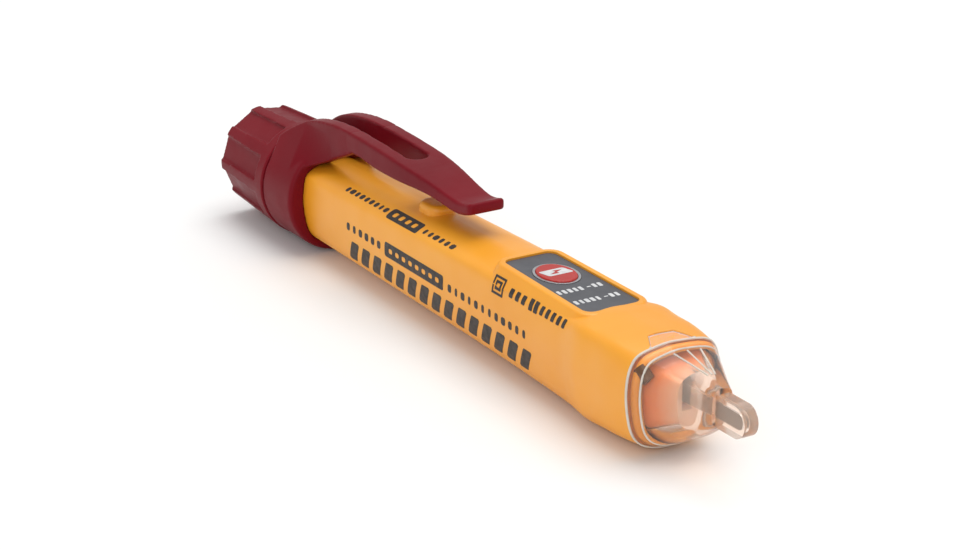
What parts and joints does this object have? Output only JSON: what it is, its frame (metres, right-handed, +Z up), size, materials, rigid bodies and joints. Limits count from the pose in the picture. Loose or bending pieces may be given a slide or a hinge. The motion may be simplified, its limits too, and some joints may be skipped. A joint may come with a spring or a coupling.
{
  "type": "non contact voltage tester",
  "caption": "Pen-shaped non-contact voltage tester: yellow barrel, clear nose with a flat probe blade, push button, pocket clip and screw-off battery cap.",
  "frame": {"origin": "centre of the underside of the bounding box, with the tester lying on its back: halfway along its length, on the cap's axis in plan, level with the lowest point of the cap's rim", "axes": "+X along the tester towards the probe tip, +Z up out of the button and the pocket clip, +Y across to the left of someone who looks along +X"},
  "size_m": [0.158, 0.0216, 0.0273],
  "materials": {
    "body_yellow": "satin moulded plastic",
    "clip_maroon": "satin moulded plastic",
    "lens_clear": "clear moulded polycarbonate",
    "diffuser_amber": "frosted amber",
    "panel_grey": "fine matt texture",
    "button_red": "satin",
    "ring_silver": "silver paint",
    "inner_black": "moulded",
    "switch_metal": "plated",
    "contact_nickel": "nickel plated",
    "seal_rubber": "matt",
    "seal_silicone": "matt",
    "cell_wrap": "printed film over a can",
    "board_green": "solder mask",
    "chip_black": "moulded",
    "capacitor_can": "plain",
    "led_red": "tinted epoxy",
    "led_green": "tinted epoxy",
    "antenna_tin": "plain"
  },
  "bodies": {
    "tester_body": {"housing": "body_yellow", "nose_lens": "lens_clear", "keypad_panel": "panel_grey", "button_ring": "ring_silver", "clip_collar": "clip_maroon", "battery_chassis": "inner_black", "switch_body": "switch_metal", "buzzer": "inner_black", "front_contact": "contact_nickel", "contact_strip": "contact_nickel", "cap_seal": "seal_rubber", "nose_seal": "seal_silicone", "battery_rear": "cell_wrap", "battery_front": "cell_wrap", "circuit_board": "board_green", "controller_chip": "chip_black", "amplifier_chip": "chip_black", "bulk_capacitor": "capacitor_can", "led_red": "led_red", "led_green": "led_green", "antenna_plate": "antenna_tin", "antenna_lead": "antenna_tin", "light_diffuser": "diffuser_amber", "resistor_1": "chip_black", "resistor_2": "chip_black", "resistor_3": "chip_black", "resistor_4": "chip_black"},
    "cap_core": {"contact_carrier": "inner_black", "cap_contact_plate": "contact_nickel", "cap_spring": "contact_nickel"},
    "cap_shell": {"battery_cap": "clip_maroon"},
    "clip_arm": {"pocket_clip": "clip_maroon"},
    "button": {"power_button": "button_red"},
    "plunger": {"switch_plunger": "inner_black"}
  },
  "joints": [
    {"name": "cap_withdraw", "type": "slide", "parent": "tester_body", "child": "cap_core", "axis": [-1, 0, 0], "range_m": [0, 0.01605]},
    {"name": "cap_turn", "type": "hinge", "parent": "cap_core", "child": "cap_shell", "pos_m": [-0.079, 0, 0.01083], "axis": [-1, 0, 0], "range_deg": [0, 1440]},
    {"name": "clip_flex", "type": "hinge", "parent": "tester_body", "child": "clip_arm", "pos_m": [-0.0355, 0, 0.02543], "axis": [0, -1, 0], "range_deg": [0, 5], "stiffness_Nm_per_rad": 2},
    {"name": "button_press", "type": "slide", "parent": "tester_body", "child": "button", "axis": [-0.0175, 0, -0.9998], "range_m": [0, 0.0005], "stiffness_N_per_m": 2000},
    {"name": "switch_plunge", "type": "slide", "parent": "tester_body", "child": "plunger", "axis": [0, 0, -1], "range_m": [0, 0.0005], "stiffness_N_per_m": 500}
  ],
  "couplings": [
    {"joint": "cap_withdraw", "follows": "cap_turn", "m_per_rad": 0.00063662},
    {"joint": "switch_plunge", "follows": "button_press", "ratio": 1}
  ]
}
